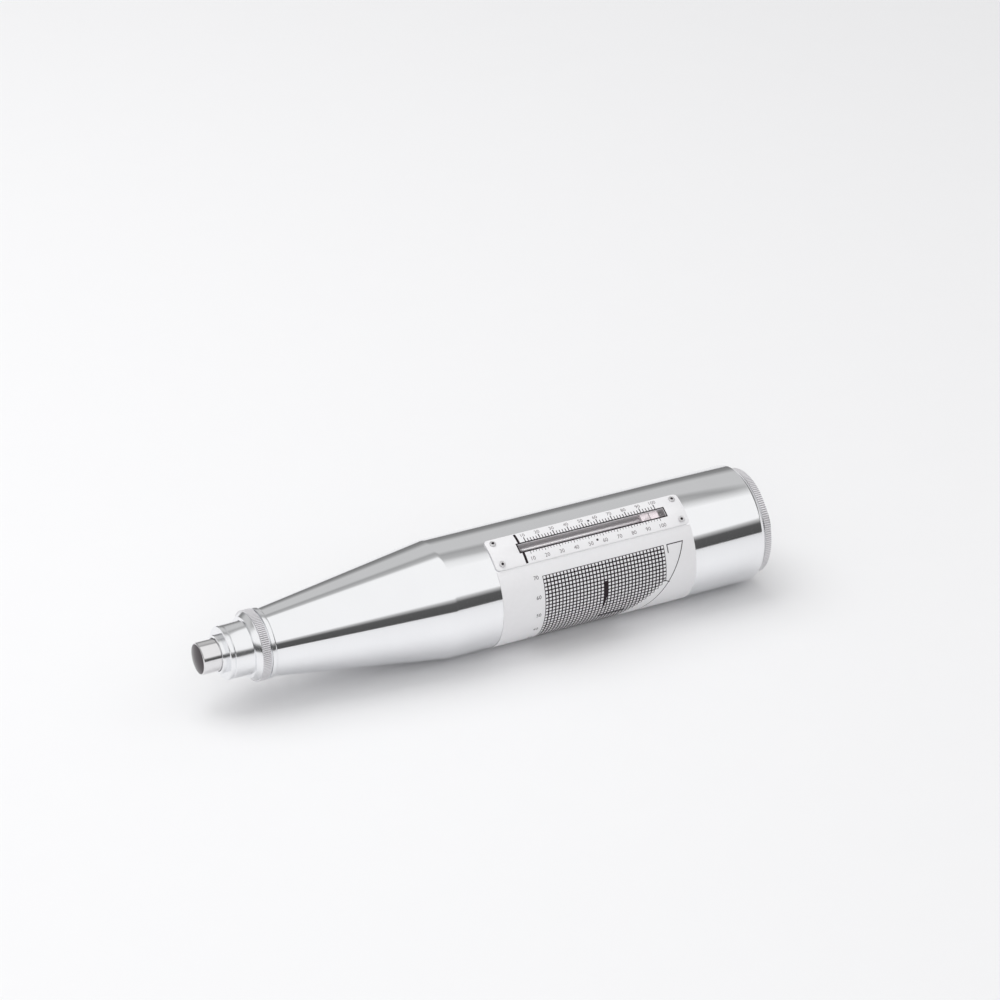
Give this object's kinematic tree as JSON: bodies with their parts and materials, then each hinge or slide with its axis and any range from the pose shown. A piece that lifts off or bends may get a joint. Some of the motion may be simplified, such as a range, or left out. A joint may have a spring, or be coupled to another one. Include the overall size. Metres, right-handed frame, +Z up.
{
  "type": "concrete test hammer",
  "caption": "Handheld rebound hammer for concrete: a spring drives an inner mass onto a plunger, and a rider on a curved scale keeps the rebound height.",
  "frame": {"origin": "centre of the footprint on the surface the hammer lies on", "axes": "+X along the hammer from the plunger to the rear cover, +Z up, scale rolled from the top towards -Y"},
  "size_m": [0.2838, 0.0562, 0.0562],
  "materials": {
    "body_aluminium": "polished",
    "trim_aluminium": "polished, straight knurl",
    "plunger_steel": "ground",
    "ground_steel": "ground",
    "mass_steel": "turned",
    "spring_steel": "drawn wire",
    "screw_steel": "bright",
    "brass": "turned",
    "felt": "pressed felt",
    "scale_paint": "white anodised with dark print",
    "rod_aluminium": "drawn, bright",
    "window": "clear acrylic",
    "label": "white film with dark print",
    "rider": "pale, matt"
  },
  "bodies": {
    "casing": {"housing": "body_aluminium", "front_cap": "trim_aluminium", "felt_washer": "felt", "split_ring": "brass", "spring_seat": "brass", "impact_spring": "spring_steel", "return_spring": "spring_steel", "rear_cover": "trim_aluminium", "trip_screw": "ground_steel", "lock_nut": "ground_steel", "scale_plate": "scale_paint", "scale_window": "window", "scale_screws": "screw_steel", "window_pins": "mass_steel", "chart_label": "label", "rider_rod": "rod_aluminium", "rod_blocks": "rod_aluminium", "button_bush": "screw_steel", "button_spring": "spring_steel"},
    "carriage": {"plunger": "plunger_steel", "buffer_spring": "spring_steel", "guide_bar": "ground_steel", "guide_disk": "brass", "pawl_pin": "ground_steel", "pawl_spring": "spring_steel"},
    "mass": {"hammer_mass": "mass_steel"},
    "catch": {"pawl": "mass_steel"},
    "pointer": {"rider": "rider", "rider_leaf": "brass"},
    "button": {"push_button": "screw_steel"}
  },
  "joints": [
    {"name": "plunger_slide", "type": "slide", "parent": "casing", "child": "carriage", "axis": [1, 0, 0], "range_m": [-0.075, 0], "deforming": ["return_spring"]},
    {"name": "mass_slide", "type": "slide", "parent": "casing", "child": "mass", "axis": [1, 0, 0], "range_m": [0, 0.075], "stiffness_N_per_m": 785, "deforming": ["impact_spring"]},
    {"name": "rider_slide", "type": "slide", "parent": "casing", "child": "pointer", "axis": [1, 0, 0], "range_m": [-0.07125, 0.00375]},
    {"name": "button_press", "type": "slide", "parent": "casing", "child": "button", "axis": [0, -0.5168, 0.8561], "range_m": [0, 0.0025], "stiffness_N_per_m": 400, "springref_m": -0.01, "deforming": ["button_spring"]},
    {"name": "pawl_pivot", "type": "hinge", "parent": "carriage", "child": "catch", "pos_m": [0.1091, 0.00568, 0.01858], "axis": [0, -0.8561, -0.5168], "range_deg": [0, 14], "stiffness_Nm_per_rad": 0.2, "deforming": ["pawl_spring"]}
  ]
}
